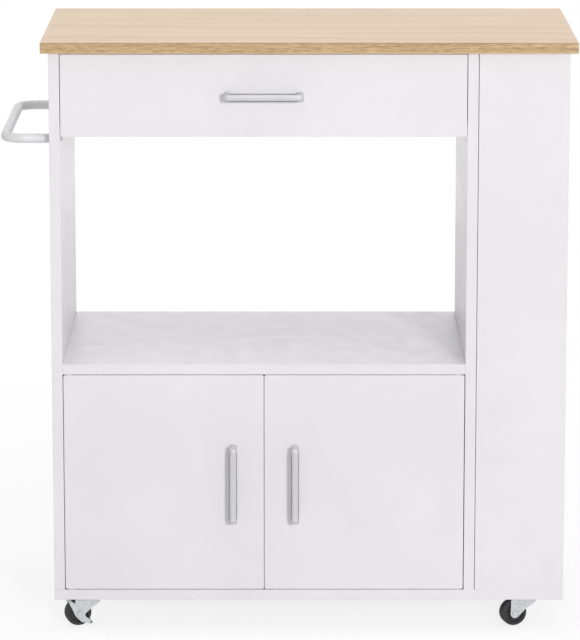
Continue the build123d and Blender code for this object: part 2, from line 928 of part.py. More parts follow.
def caster_fork(braked):
    fork = both_legs(fork_leg(), fork_inner, fork_sheet)
    roof_low = fork_roof - fork_top_sheet
    fork += rod((0, 0, roof_low), UP, fork_top_radius, fork_top_sheet)
    fork += block(0, caster_trail, -fork_outer, fork_outer, roof_low, fork_roof)
    hole_start = (0, 0, roof_low - cut_past)
    fork -= rod(hole_start, UP, kingpin_radius + running_play, fork_top_sheet + 2 * cut_past)
    reach = brake_outer + brake_gap if braked else fork_outer
    fork += rod((caster_trail, reach, axle_height), FRONT, axle_radius, 2 * reach)
    for side in (FRONT, BACK):
        start = Vector(caster_trail, side.Y * reach, axle_height)
        cap = rod(start, side, axle_radius + axle_cap_edge, axle_cap)
        fork += chamfer(cap.edges().sort_by(Axis.Y)[-1 if side.Y > 0 else 0], axle_cap_chamfer)
    return fork


def caster_wheel():
    # A moulded wheel: tread with broken edges, recessed web on both sides and a hub that spaces it in the fork.
    half = wheel_width / 2
    tyre = rod((caster_trail, half, axle_height), FRONT, wheel_radius, wheel_width)
    tyre = chamfer(tyre.edges(), wheel_shoulder)
    for side in (FRONT, BACK):
        start = Vector(caster_trail, side.Y * (half - wheel_recess_depth), axle_height)
        depth = wheel_recess_depth + cut_past
        dish = rod(start, side, wheel_recess_outer, depth)
        dish -= rod(start, side, wheel_recess_inner, depth)
        tyre -= dish
    hub_half = half + wheel_hub_stand
    tyre += rod((caster_trail, hub_half, axle_height), FRONT, wheel_hub_radius, 2 * hub_half)
    bore = axle_radius + running_play
    start = (caster_trail, hub_half + cut_past, axle_height)
    return tyre - rod(start, FRONT, bore, 2 * (hub_half + cut_past))


def brake_lever():
    # Two pressed cheeks outside the fork, which turn on the axle. A tongue over the tread and a toe bar
    # near the floor join them.
    axle = Vector(caster_trail, axle_height)
    tilt = radians(brake_tongue_tilt)
    out = wheel_radius + brake_tongue_gap + brake_sheet / 2
    tongue = axle + Vector(cos(tilt), sin(tilt)) * out
    toe = axle - Vector(toe_bar_back, toe_bar_drop)
    heel = axle - Vector(brake_heel_back, brake_heel_drop)
    discs = [
        Pos(tongue) * Circle(brake_tip_radius),
        Pos(axle) * Circle(brake_waist_radius),
        Pos(heel) * Circle(brake_heel_radius),
        Pos(toe) * Circle(toe_bar_radius),
    ]
    cheek = make_hull(discs[0].edges() + discs[1].edges())
    cheek += make_hull(discs[1].edges() + discs[2].edges())
    cheek += make_hull(discs[2].edges() + discs[3].edges())
    cheek -= Pos(axle) * Circle(axle_radius + running_play)
    lever = both_legs(cheek, fork_outer + brake_gap, brake_sheet)
    across = 2 * brake_outer
    plane = Plane(origin=(tongue.X, 0, tongue.Y), x_dir=(0, 1, 0), z_dir=(cos(tilt), 0, sin(tilt)))
    lever += plane * Box(across, brake_tongue_length, brake_sheet)
    return lever + rod((toe.X, brake_outer, toe.Y), FRONT, toe_bar_radius, across)


def make_parts():
    # Fittings first, so that every board knows its holes.
    fit_cabinet_joints()
    fit_drawer_joints()
    parts = {
        "shelf_pins": shelf_pins(),
        "guard_rods": guard_rods(),
        "towel_rail": towel_rail(),
        "towel_rail_plugs": towel_rail_plugs(),
        "towel_rail_screws": towel_rail_screws(),
        "cabinet_runners": both_sides(cabinet_runner()),
        "runner_screws": runner_screws(),
        "pivot_pins": pivot_pins(),
        "door_catches": door_catches(),
        "catch_screws": catch_screws(),
        "caster_screws": caster_screws(),
        "caster_plates": [Pos(x, y, 0) * caster_plate() for x, y in caster_axes.values()],
        "cam_housings": cams,
        "cam_bolts": bolts,
        "wood_dowels": dowels,
    }
    parts["worktop"] = worktop()
    parts["bottom_panel"] = bottom_panel()
    parts["left_side_panel"] = left_side_panel()
    parts["divider_panel"] = divider_panel()
    parts["middle_shelf"] = middle_shelf()
    parts["upper_back_rail"] = upper_back_rail()
    parts["cabinet_back_panel"] = cabinet_back_panel()
    parts["inner_shelf"] = inner_shelf()
    parts["column_front_panel"] = column_front_panel()
    parts["column_back_panel"] = column_back_panel()
    parts["side_shelves"] = side_shelves()

    parts["drawer_front"] = drawer_front()
    side = drawer_side_board()
    parts["drawer_left_side"] = finished("drawer_left_side", side)
    parts["drawer_right_side"] = finished("drawer_right_side", flip(side))
    parts["drawer_back"] = drawer_back()
    parts["drawer_bottom"] = drawer_bottom_panel()
    parts["drawer_cams"] = drawer_cams
    parts["drawer_cam_bolts"] = drawer_bolts
    parts["drawer_rails"] = both_sides(drawer_rail())
    parts["drawer_handle"] = drawer_handle_place() * bow_handle()
    parts["drawer_handle_screws"] = handle_screws(drawer_handle_place())
    parts["front_rollers"] = both_sides(roller(front_roller_y, front_roller_height))
    parts["rear_rollers"] = both_sides(roller(rear_roller_y, rear_roller_height))

    door = {
        "door": left_door(),
        "door_handle": door_handle_place() * bow_handle(),
        "door_handle_screws": handle_screws(door_handle_place()),
        "door_bushes": pivot_bushes(),
        "door_strike": strike_plate(),
    }
    for name, shape in door.items():
        shapes = shape if isinstance(shape, list) else [shape]
        parts["left_" + name] = shapes
        parts["right_" + name] = [flip(s) for s in shapes]

    for corner in caster_axes:
        place = caster_place(corner)
        parts[corner + "_fork"] = place * caster_fork(corner in braked_casters)
        parts[corner + "_wheel"] = place * caster_wheel()
        if corner in braked_casters:
            parts[corner + "_brake"] = place * brake_lever()
    return parts


def write_parts():
    os.makedirs("parts", exist_ok=True)
    home = Pos(-origin_x, -origin_y, 0)
    for name, shape in make_parts().items():
        solids = shape if isinstance(shape, list) else [shape]
        solids = [home * solid for solid in solids]
        node = solids[0] if len(solids) == 1 else Compound(children=solids)
        export_step(node, f"parts/{name}.step")


if __name__ == "__main__":
    write_parts()
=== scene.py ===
import json
import math

import bmesh
import bpy
from mathutils import Matrix, Vector

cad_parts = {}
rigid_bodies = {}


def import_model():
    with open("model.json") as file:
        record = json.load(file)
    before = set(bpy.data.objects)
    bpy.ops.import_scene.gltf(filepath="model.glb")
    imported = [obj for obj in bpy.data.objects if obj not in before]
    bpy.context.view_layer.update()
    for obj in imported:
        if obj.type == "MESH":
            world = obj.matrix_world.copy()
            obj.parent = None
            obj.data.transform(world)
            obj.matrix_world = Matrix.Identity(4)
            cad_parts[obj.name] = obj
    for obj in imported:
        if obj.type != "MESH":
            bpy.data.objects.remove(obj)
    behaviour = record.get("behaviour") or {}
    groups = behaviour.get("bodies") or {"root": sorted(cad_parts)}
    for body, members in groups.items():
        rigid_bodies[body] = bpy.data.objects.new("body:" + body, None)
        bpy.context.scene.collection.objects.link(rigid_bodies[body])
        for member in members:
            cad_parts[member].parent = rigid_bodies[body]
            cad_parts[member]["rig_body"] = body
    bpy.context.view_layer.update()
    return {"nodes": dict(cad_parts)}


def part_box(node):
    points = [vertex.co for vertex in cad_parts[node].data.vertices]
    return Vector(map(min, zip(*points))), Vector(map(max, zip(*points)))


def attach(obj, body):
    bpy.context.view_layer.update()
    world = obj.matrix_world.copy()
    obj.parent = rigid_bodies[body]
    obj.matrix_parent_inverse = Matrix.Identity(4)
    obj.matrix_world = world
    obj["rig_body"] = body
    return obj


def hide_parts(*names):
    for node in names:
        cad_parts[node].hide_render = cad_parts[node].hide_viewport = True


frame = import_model()
print("frame loaded,", len(frame["nodes"]), "nodes")

scene = bpy.context.scene
scene.view_settings.view_transform = "Standard"
tiny = 0.00001  # points closer than this are one point
aligned = 0.99  # a direction with more than this along an axis follows it


class Wire:
    # a node's output, which can be added, multiplied and so on

    def __init__(self, recipe, socket):
        self.recipe = recipe
        self.socket = socket

    def maths(self, operation, *values):
        settings = {"operation": operation}
        return self.recipe.node("ShaderNodeMath", settings, dict(enumerate(values)))

    def __add__(self, other):
        return self.maths("ADD", self, other)

    def __radd__(self, other):
        return self.maths("ADD", other, self)

    def __sub__(self, other):
        return self.maths("SUBTRACT", self, other)

    def __rsub__(self, other):
        return self.maths("SUBTRACT", other, self)

    def __mul__(self, other):
        return self.maths("MULTIPLY", self, other)

    def __rmul__(self, other):
        return self.maths("MULTIPLY", other, self)

    def __gt__(self, other):
        return self.maths("GREATER_THAN", self, other)

    def __lt__(self, other):
        return self.maths("LESS_THAN", self, other)

    def __abs__(self):
        return self.maths("ABSOLUTE", self)


class Recipe:
    # adds nodes to one material's tree

    def __init__(self, tree):
        self.tree = tree

    def node(self, kind, settings=None, inputs=None, output=0):
        made = self.tree.nodes.new(kind)
        for name, value in (settings or {}).items():
            setattr(made, name, value)
        for name, value in (inputs or {}).items():
            if isinstance(value, Wire):
                self.tree.links.new(value.socket, made.inputs[name])
            else:
                made.inputs[name].default_value = value
        return Wire(self, made.outputs[output])

    def end(self, kind, surface):
        self.tree.links.new(surface.socket, self.tree.nodes.new(kind).inputs["Surface"])

    def place(self):
        return self.node("ShaderNodeTexCoord", output="Object")

    def parts(self, vector):
        split = self.node("ShaderNodeSeparateXYZ", inputs={0: vector})
        return [Wire(self, socket) for socket in split.socket.node.outputs]

    def join(self, x, y, z):
        return self.node("ShaderNodeCombineXYZ", inputs={0: x, 1: y, 2: z})

    def stretch(self, vector, scale, shift=(0, 0, 0)):
        inputs = {"Vector": vector, "Scale": scale, "Location": shift}
        return self.node("ShaderNodeMapping", inputs=inputs)

    def noise(self, vector, scale, detail=2.0, rough=0.5, warp=0.0):
        inputs = {"Vector": vector, "Scale": scale, "Detail": detail, "Roughness": rough}
        return self.node("ShaderNodeTexNoise", inputs={**inputs, "Distortion": warp})

    def ease(self, value, low, high):
        # 0 below low, 1 above high, with a soft step between
        inputs = {"Value": value, "From Min": low, "From Max": high}
        return self.node("ShaderNodeMapRange", {"interpolation_type": "SMOOTHSTEP"}, inputs)

    def blend(self, factor, first, second):
        inputs = {0: factor, 6: first, 7: second}
        return self.node("ShaderNodeMix", {"data_type": "RGBA"}, inputs, output=2)

    def bump(self, height, depth):
        inputs = {"Height": height, "Distance": depth, "Strength": 1.0}
        return self.node("ShaderNodeBump", inputs=inputs)


def shade(red, green, blue):
    # a screen colour, 0 to 255, as the linear colour that a shader wants
    values = []
    for value in (red, green, blue):
        value = value / 255
        values.append(value / 12.92 if value <= 0.04045 else ((value + 0.055) / 1.055) ** 2.4)
    return (*values, 1.0)


def newMaterial(name):
    material = bpy.data.materials.new(name)
    material.use_nodes = True
    return material, Recipe(material.node_tree)


def dress(material, recipe, **values):
    # colour, roughness and the rest go to the shader, as links or as plain numbers
    shader = recipe.tree.nodes["Principled BSDF"]
    for name, value in values.items():
        socket = shader.inputs[name.replace("_", " ")]
        if isinstance(value, Wire):
            recipe.tree.links.new(value.socket, socket)
        else:
            socket.default_value = value
    return material


# finishes: a noise is its scale, detail and roughness, an ease its low and high end,
# and a bump its depth in metres

laminate = {
    "light": shade(241, 238, 241),
    "dark": shade(237, 234, 237),
    "cloud": (4.5, 3, 0.55),
    "cloudEase": (0.35, 0.65),
    "peel": (700, 2, 0.6),
    "flow": (38, 2),
    "flowEase": (0.3, 0.7),
    "roughness": 0.30,
    "flowRoughness": 0.10,
    "peelRoughness": 0.05,
    "bump": 0.000018,
    "index": 1.48,
}


def whiteLaminate():
    # melamine film: almost one white, a faint cloud in it and a fine orange peel
    material, recipe = newMaterial("whiteLaminate")
    place = recipe.place()
    cloud = recipe.ease(recipe.noise(place, *laminate["cloud"]), *laminate["cloudEase"])
    peel = recipe.noise(place, *laminate["peel"])
    flow = recipe.noise(place, *laminate["flow"])
    colour = recipe.blend(cloud, laminate["dark"], laminate["light"])
    uneven = laminate["flowRoughness"] * recipe.ease(flow, *laminate["flowEase"])
    rough = laminate["roughness"] + uneven + laminate["peelRoughness"] * peel
    normal = recipe.bump(peel + flow, laminate["bump"])
    return dress(
        material, recipe, Base_Color=colour, Roughness=rough, Normal=normal,
        IOR=laminate["index"])


oak = {
    "top": shade(240, 213, 176),
    "topPink": shade(241, 210, 179),
    "topStreak": shade(204, 174, 137),
    "edge": shade(219, 188, 145),
    "edgeStreak": shade(156, 121, 81),
    "pore": shade(186, 152, 116),
    "seam": shade(140, 108, 74),
    # painted highlight: the lower band of the worktop's edge is lighter, as where light catches
    # it
    "highlightLip": shade(224, 200, 166),
    "under": shade(222, 198, 166),
    "layers": {  # each noise's stretch, shift, detail, roughness and warp
        "bands": ((1.1, 24, 1), (0, 0, 0), 2, 0.5, 0.2),
        "tint": ((0.7, 7, 1), (3, 1, 0), 1, 0.5, 0.0),
        "fibre": ((5, 210, 1), (0, 0, 0), 4, 0.62, 0.4),
        "lines": ((2.2, 70, 1), (7, 0, 0), 3, 0.55, 1.4),
        "fleck": ((60, 520, 1), (0, 0, 0), 2, 0.6, 0.3),
        "pores": ((55, 1500, 1), (0, 0, 0), 2, 0.5, 0.0),
    },
    "ringStretch": (0.32, 4.6, 1),
    "rings": {
        "Scale": 3.2,
        "Distortion": 5.5,
        "Detail": 3,
        "Detail Scale": 1.1,
        "Detail Roughness": 0.55,
    },
    "tintEase": (0.35, 0.65),
    "fibreEase": (0.42, 0.72),
    "lineEase": (0.45, 0.75),
    "bandEase": (0.40, 0.64),
    "fleckEase": (0.36, 0.66),
    "poreEase": (0.66, 0.74),
    "poreBands": (0.30, 0.62),
    "dullBands": (0.3, 0.7),
    "fibreShare": 0.55,
    "lineShare": 0.30,
    "ringShare": 0.16,
    "topGrain": 0.56,
    "topBands": 0.34,
    "edgeGrain": 0.45,
    "edgeFleck": 0.55,
    "poreShare": 0.45,
    "seamShare": 0.55,
    "highlightLipShare": 0.75,
    "roughness": 0.46,
    "grainRoughness": 0.12,
    "bandRoughness": 0.06,
    "poreDepth": 0.9,
    "bump": 0.00006,
    "index": 1.47,
    "steep": 0.7,  # a face steeper than this belongs to an edge of the board
    "edgeShift": 0.5,  # so that the edges have other grain than the top
    "seamTop": 0.9112,  # heights on the edge, in metres
    "seamLow": 0.9100,
    "seamBlur": 0.0003,
    "highlightLipTop": 0.8972,
    "highlightLipBlur": 0.0006,
    "underTop": 0.8952,
}


def oakWorktop():
    # wood-grain foil that runs along the top and is folded over the four edges
    material, recipe = newMaterial("oakWorktop")
    x, y, z = recipe.parts(recipe.place())
    facing = recipe.node("ShaderNodeTexCoord", output="Normal")
    end, edge = [abs(part) > oak["steep"] for part in recipe.parts(facing)[:2]]
    side = (end + edge) > 0.5
    run = x + end * (y - x)
    cross = y + side * (z + oak["edgeShift"] - y)
    sheet = recipe.join(run, cross, 0.0)

    def layer(name):
        stretch, shift, detail, rough, warp = oak["layers"][name]
        return recipe.noise(recipe.stretch(sheet, stretch, shift), 1, detail, rough, warp)

    def above(height, blur):
        return recipe.ease(z, height - blur, height)

    bands = layer("bands")
    fibre = layer("fibre")
    tint = recipe.ease(layer("tint"), *oak["tintEase"])
    lines = recipe.ease(layer("lines"), *oak["lineEase"])
    fleck = recipe.ease(layer("fleck"), *oak["fleckEase"])
    pores = recipe.ease(layer("pores"), *oak["poreEase"]) * recipe.ease(bands, *oak["poreBands"])
    rings = recipe.node(
        "ShaderNodeTexWave", {"bands_direction": "Y", "wave_profile": "SAW"},
        {"Vector": recipe.stretch(sheet, oak["ringStretch"]), **oak["rings"]})
    grain = oak["fibreShare"] * recipe.ease(fibre, *oak["fibreEase"]) + oak["lineShare"] * lines
    grain = grain + oak["ringShare"] * rings

    top = recipe.blend(tint, oak["top"], oak["topPink"])
    streaks = oak["topGrain"] * grain + oak["topBands"] * recipe.ease(bands, *oak["bandEase"])
    top = recipe.blend(streaks, top, oak["topStreak"])
    streaks = oak["edgeGrain"] * grain + oak["edgeFleck"] * fleck
    low = recipe.blend(streaks, oak["edge"], oak["edgeStreak"])
    colour = recipe.blend(side, top, low)
    colour = recipe.blend(oak["poreShare"] * pores, colour, oak["pore"])
    seam = above(oak["seamLow"], oak["seamBlur"]) * (1 - above(oak["seamTop"], oak["seamBlur"]))
    colour = recipe.blend(oak["seamShare"] * seam * side, colour, oak["seam"])
    # painted highlight: a lighter band along the bottom of the edge
    highlightLip = 1 - above(oak["highlightLipTop"], oak["highlightLipBlur"])
    colour = recipe.blend(oak["highlightLipShare"] * highlightLip * side, colour, oak["highlightLip"])
    colour = recipe.blend((z < oak["underTop"]) * (1 - side), colour, oak["under"])

    rough = oak["roughness"] + oak["grainRoughness"] * grain
    rough = rough - oak["bandRoughness"] * recipe.ease(bands, *oak["dullBands"])
    normal = recipe.bump(fibre - oak["poreDepth"] * pores, oak["bump"])
    return dress(
        material, recipe, Base_Color=colour, Roughness=rough, Normal=normal, IOR=oak["index"])


dowel = {
    "light": shade(226, 190, 148),
    "dark": shade(190, 146, 102),
    "stretch": (90, 420, 420),
    "fleck": (1, 3, 0.6),
    "fleckEase": (0.35, 0.7),
    "roughness": 0.6,
    "fleckRoughness": 0.1,
    "bump": 0.00005,
}


def beechDowel():
    material, recipe = newMaterial("beechDowel")
    fleck = recipe.noise(recipe.stretch(recipe.place(), dowel["stretch"]), *dowel["fleck"])
    colour = recipe.blend(recipe.ease(fleck, *dowel["fleckEase"]), dowel["light"], dowel["dark"])
    rough = dowel["roughness"] + dowel["fleckRoughness"] * fleck
    normal = recipe.bump(fleck, dowel["bump"])
    return dress(material, recipe, Base_Color=colour, Roughness=rough, Normal=normal)


hardboard = {
    "light": shade(240, 238, 238),
    "dark": shade(229, 226, 225),
    "fibre": (420, 4, 0.65),
    "fibreShare": 0.3,
    "cloud": (7, 2),
    "cloudEase": (0.35, 0.7),
    "cloudShare": 0.6,
    "roughness": 0.5,
    "fibreRoughness": 0.15,
    "bump": 0.00006,
}


def whiteHardboard():
    # thin board with a white printed face over pressed fibre
    material, recipe = newMaterial("whiteHardboard")
    place = recipe.place()
    fibre = recipe.noise(place, *hardboard["fibre"])
    cloud = recipe.ease(recipe.noise(place, *hardboard["cloud"]), *hardboard["cloudEase"])
    share = hardboard["cloudShare"] * cloud + hardboard["fibreShare"] * fibre
    colour = recipe.blend(share, hardboard["light"], hardboard["dark"])
    rough = hardboard["roughness"] + hardboard["fibreRoughness"] * fibre
    normal = recipe.bump(fibre, hardboard["bump"])
    return dress(material, recipe, Base_Color=colour, Roughness=rough, Normal=normal)


brushed = {
    "light": shade(222, 222, 225),
    "dark": shade(194, 194, 198),
    "fine": 2600,  # streaks per metre across the grip
    "long": 30,  # and along it
    "streak": (1, 3, 0.6),
    "streakEase": (0.3, 0.7),
    "cloud": (60, 2),
    "metal": 0.3,
    "roughness": 0.36,
    "streakRoughness": 0.16,
    "cloudRoughness": 0.05,
    "bump": 0.000012,
}


def satinAluminium(name, along):
    # brushed along the grip, so the streaks are long in one direction only
    material, recipe = newMaterial(name)
    scale = [brushed["long" if axis == along else "fine"] for axis in "xyz"]
    place = recipe.place()
    streak = recipe.noise(recipe.stretch(place, scale), *brushed["streak"])
    cloud = recipe.noise(place, *brushed["cloud"])
    share = recipe.ease(streak, *brushed["streakEase"])
    colour = recipe.blend(share, brushed["dark"], brushed["light"])
    rough = brushed["roughness"] + brushed["streakRoughness"] * streak
    rough = rough + brushed["cloudRoughness"] * cloud
    normal = recipe.bump(streak, brushed["bump"])
    return dress(
        material, recipe, Base_Color=colour, Metallic=brushed["metal"], Roughness=rough,
        Normal=normal)


tube = {
    "light": shade(238, 237, 240),
    "dark": shade(228, 227, 231),
    "cloud": (45, 3, 0.6),
    "cloudEase": (0.3, 0.7),
    "grit": (1500, 2),
    "metal": 0.15,
    "roughness": 0.42,
    "cloudRoughness": 0.10,
    "gritRoughness": 0.06,
    "bump": 0.000006,
}


def satinTube():
    # drawn tube under a thin silver lacquer
    material, recipe = newMaterial("satinTube")
    place = recipe.place()
    cloud = recipe.noise(place, *tube["cloud"])
    grit = recipe.noise(place, *tube["grit"])
    colour = recipe.blend(recipe.ease(cloud, *tube["cloudEase"]), tube["light"], tube["dark"])
    rough = tube["roughness"] + tube["cloudRoughness"] * cloud + tube["gritRoughness"] * grit
    normal = recipe.bump(grit, tube["bump"])
    return dress(
        material, recipe, Base_Color=colour, Metallic=tube["metal"], Roughness=rough,
        Normal=normal)


zinc = {
    "dark": shade(188, 190, 194),
    "light": shade(224, 225, 228),
    "flakes": 520,
    "flakeShare": 0.6,
    "haze": (160, 3, 0.6),
    "hazeShare": 0.4,
    "metal": 0.9,
    "roughness": 0.30,
    "flakeRoughness": 0.16,
    "hazeRoughness": 0.10,
    "flakeDepth": 0.4,
    "bump": 0.00002,
}


def zincSteel():
    # pressed sheet with the flaky crystals of its zinc coat
    material, recipe = newMaterial("zincSteel")
    place = recipe.place()
    flake = recipe.node(
        "ShaderNodeTexVoronoi", {"feature": "F1"},
        {"Vector": place, "Scale": zinc["flakes"]}, output="Color")
    red, green, blue = recipe.parts(flake)
    haze = recipe.noise(place, *zinc["haze"])
    share = zinc["flakeShare"] * red + zinc["hazeShare"] * haze
    colour = recipe.blend(share, zinc["dark"], zinc["light"])
    rough = zinc["roughness"] + zinc["flakeRoughness"] * green + zinc["hazeRoughness"] * haze
    normal = recipe.bump(zinc["flakeDepth"] * blue + haze, zinc["bump"])
    return dress(
        material, recipe, Base_Color=colour, Metallic=zinc["metal"], Roughness=rough,
        Normal=normal)


coats = {
    "whitePaintedSteel": {
        "light": shade(238, 238, 236),
        "dark": shade(228, 228, 227),
        "grain": (900, 2, 0.6),
        "cloud": (30, 2),
        "roughness": 0.34,
        "grainRoughness": 0.1,
        "bump": 0.00003,
    },
    "whitePlastic": {
        "light": shade(236, 236, 234),
        "dark": shade(224, 225, 224),
        "grain": (1300, 2),
        "cloud": (50, 2),
        "roughness": 0.38,
        "grainRoughness": 0.12,
        "bump": 0.00002,
    },
    "greyCollar": {  # the plastic plug between the rail and the panel
        "light": shade(240, 240, 243),
        "dark": shade(224, 224, 228),
        "grain": (1300, 2),
        "cloud": (90, 2),
        "roughness": 0.35,
        "grainRoughness": 0.12,
        "bump": 0.00002,
    },
}


def paleCoat(name):
    # paint or plastic in one pale tone, a little cloudy and finely grained
    coat = coats[name]
    material, recipe = newMaterial(name)
    place = recipe.place()
    grain = recipe.noise(place, *coat["grain"])
    cloud = recipe.noise(place, *coat["cloud"])
    colour = recipe.blend(cloud, coat["light"], coat["dark"])
    rough = coat["roughness"] + coat["grainRoughness"] * grain
    normal = recipe.bump(grain, coat["bump"])
    return dress(material, recipe, Base_Color=colour, Roughness=rough, Normal=normal)


tyre = {
    "black": shade(38, 38, 41),
    "dusty": shade(122, 118, 114),
    "dust": (330, 4, 0.65),
    "dustEase": (0.42, 0.75),
    "sideDust": 0.25,
    "treadDust": 0.75,
    "dustShare": 0.34,
    "grit": (1800, 2),
    "roughness": 0.36,
    "treadRoughness": 0.26,
    "gritRoughness": 0.12,
    "dustDepth": 0.6,
    "bump": 0.00004,
}


def wheelPlastic():
    # hard black tyre: the tread picks up dust and dulls, the sides stay a little glossy
    material, recipe = newMaterial("wheelPlastic")
    place = recipe.place()
    tread = recipe.node("ShaderNodeAttribute", {"attribute_name": "tread"}, output="Fac")
    dust = recipe.ease(recipe.noise(place, *tyre["dust"]), *tyre["dustEase"])
    dust = dust * (tyre["sideDust"] + tyre["treadDust"] * tread)
    grit = recipe.noise(place, *tyre["grit"])
    colour = recipe.blend(tyre["dustShare"] * dust, tyre["black"], tyre["dusty"])
    rough = tyre["roughness"] + tyre["treadRoughness"] * tread + tyre["gritRoughness"] * grit
    normal = recipe.bump(grit + tyre["dustDepth"] * dust, tyre["bump"])
    return dress(material, recipe, Base_Color=colour, Roughness=rough, Normal=normal)


finishes = {
    "white_laminate": whiteLaminate(),
    "white_hardboard": whiteHardboard(),
    "oak_worktop": oakWorktop(),
    "beech_dowel": beechDowel(),
    "chrome_tube": satinTube(),
    "satin_aluminium": satinAluminium("satinAluminiumFlat", "x"),
    "zinc_steel": zincSteel(),
    "white_painted_steel": paleCoat("whitePaintedSteel"),
    "white_plastic": paleCoat("whitePlastic"),
    "black_plastic": wheelPlastic(),
    "grey_plastic": paleCoat("greyCollar"),
}
uprightAluminium = satinAluminium("satinAluminiumUpright", "z")

for node in frame["nodes"].values():
    for slot in node.material_slots:
        slot.material = finishes[slot.material.name.split(".")[0]]
print("finishes on the kept nodes")


def begin(piece):
    # makes it the one selected and active object
    bpy.ops.object.select_all(action="DESELECT")
    piece.select_set(True)
    bpy.context.view_layer.objects.active = piece


def startShape(name, add, **settings):
    # a primitive at its size and place, with its transform applied, opened in edit mode
    bpy.ops.object.select_all(action="DESELECT")
    add(**settings)
    piece = bpy.context.object
    piece.name = piece.data.name = name
    bpy.ops.object.transform_apply(location=True, rotation=True, scale=True)
    bpy.ops.object.mode_set(mode="EDIT")
    bpy.ops.mesh.select_all(action="DESELECT")
    return piece


def pickFaces(piece, wanted):
    # wanted(centre, normal) says which faces are selected
    bpy.ops.mesh.select_mode(type="FACE")
    bpy.ops.mesh.select_all(action="DESELECT")
    mesh = bmesh.from_edit_mesh(piece.data)
    for face in mesh.faces:
        face.select_set(bool(wanted(face.calc_center_median(), face.normal)))
    bmesh.update_edit_mesh(piece.data)


def pickEdges(piece, wanted):
    # wanted(middle, direction, normals of the faces beside it) says which edges are selected
    bpy.ops.mesh.select_mode(type="EDGE")
    bpy.ops.mesh.select_all(action="DESELECT")
    mesh = bmesh.from_edit_mesh(piece.data)
    for edge in mesh.edges:
        first, second = [vert.co for vert in edge.verts]
        normals = [face.normal for face in edge.link_faces]
        along = (second - first).normalized()
        edge.select_set(bool(wanted((first + second) / 2, along, normals)))
    bmesh.update_edit_mesh(piece.data)


def roundEdges(settings, part):
    # rounds the picked edges, by the sizes in a piece's settings
    bpy.ops.mesh.bevel(
        offset=settings[part + "Round"], segments=settings[part + "Segments"], affect="EDGES")


def endShape(piece, angle):
    # closes edit mode, with the faces turned outwards and the round parts shaded smooth
    bpy.ops.mesh.select_all(action="SELECT")
    bpy.ops.mesh.remove_doubles(threshold=tiny)
    bpy.ops.mesh.normals_make_consistent(inside=False)
    bpy.ops.object.mode_set(mode="OBJECT")
    begin(piece)
    bpy.ops.object.shade_smooth_by_angle(angle=math.radians(angle))
    return piece


def evenNormals(piece):
    # the large flat faces decide the shading, so that it only turns on the rounded edges
    begin(piece)
    bpy.ops.object.modifier_add(type="WEIGHTED_NORMAL")
    piece.modifiers["WeightedNormal"].keep_sharp = True
    bpy.ops.object.modifier_apply(modifier="WeightedNormal")


def copyTo(source, name, place):
    # one more of a finished piece, with its own mesh, moved by the matrix
    begin(source)
    bpy.ops.object.duplicate(linked=False)
    piece = bpy.context.object
    piece.name = piece.data.name = name
    piece.matrix_world = place
    bpy.ops.object.transform_apply(location=True, rotation=True, scale=True)
    return piece


def finish(piece, body, slot, material, *nodes):
    piece.data.materials.clear()
    piece.data.materials.append(material)
    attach(piece, body)
    if nodes:
        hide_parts(*nodes)


def middleOf(node):
    low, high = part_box(node)
    return (Vector(low) + Vector(high)) / 2


# boards: the CAD's own shapes, with the joints between them as fine as they look

toLeft, toRight, downwards, upwards = (-1, 0, 0), (1, 0, 0), (0, 0, -1), (0, 0, 1)
board = {
    "nodes": (
        "left_side_panel", "divider_panel", "bottom_panel", "middle_shelf", "inner_shelf",
        "upper_back_rail", "column_front_panel", "column_back_panel", "side_shelves",
        "drawer_front", "drawer_left_side", "drawer_right_side", "drawer_back", "left_door",
        "right_door"),
    "faces": {  # how far side faces move outwards
        "drawer_front": {toLeft: 0.0010, toRight: 0.0010},
        "left_door": {toLeft: 0.0010, toRight: 0.0006, downwards: 0.0010, upwards: 0.0010},
        "right_door": {toLeft: 0.0006, toRight: 0.0008, downwards: 0.0010, upwards: 0.0010},
    },
    "standOff": 0.0010,
    "smoothAngle": 40,
}


def openCopy(node, name):
    # a merged copy of a CAD node, opened in edit mode
    piece = bpy.data.objects.new(name, node.data.copy())
    scene.collection.objects.link(piece)
    begin(piece)
    bpy.ops.object.mode_set(mode="EDIT")
    bpy.ops.mesh.select_all(action="SELECT")
    bpy.ops.mesh.remove_doubles(threshold=tiny)
    return piece


def moveFace(piece, direction, distance):
    # the outermost flat face on one side of the open mesh
    direction = Vector(direction)
    reach = max(vert.co.dot(direction) for vert in bmesh.from_edit_mesh(piece.data).verts)
    pickFaces(piece, lambda centre, normal: (
        normal.dot(direction) > aligned and centre.dot(direction) > reach - tiny))
    bpy.ops.transform.translate(value=direction * distance)


def standOff(piece):
    # the left end of the front edge moves off its neighbour, which leaves a dark line
    verts = bmesh.from_edit_mesh(piece.data).verts
    left, front = [min(vert.co[i] for vert in verts) for i in (0, 1)]
    reach = board["standOff"]
    pickEdges(piece, lambda middle, along, normals: (
        middle.x < left + reach and middle.y < front + reach))
    bpy.ops.transform.translate(value=(reach, 0, 0))


for name in board["nodes"]:
    node = frame["nodes"][name]
    piece = openCopy(node, name + "_board")
    for direction, distance in board["faces"].get(name, {}).items():
        moveFace(piece, direction, distance)
    if name == "column_front_panel":
        standOff(piece)
    endShape(piece, board["smoothAngle"])
    evenNormals(piece)
    finish(piece, node["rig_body"], "white_laminate", finishes["white_laminate"], name)
print("boards seated")


handle = {
    "bodies": {
        "drawer_handle": "drawer",
        "left_door_handle": "left_door",
        "right_door_handle": "right_door",
    },
    "length": 0.120,
    "width": 0.012,
    "reach": 0.025,
    "bar": 0.006,
    "foot": 0.009,
    "outerRound": 0.007,
    "outerSegments": 12,
    "innerRound": 0.004,
    "innerSegments": 8,
    "frontRound": 0.0045,
    "frontSegments": 10,
    "backRound": 0.0012,
    "backSegments": 4,
    "spare": 0.010,  # length of the feet that is cut off last
    "smoothAngle": 30,
}


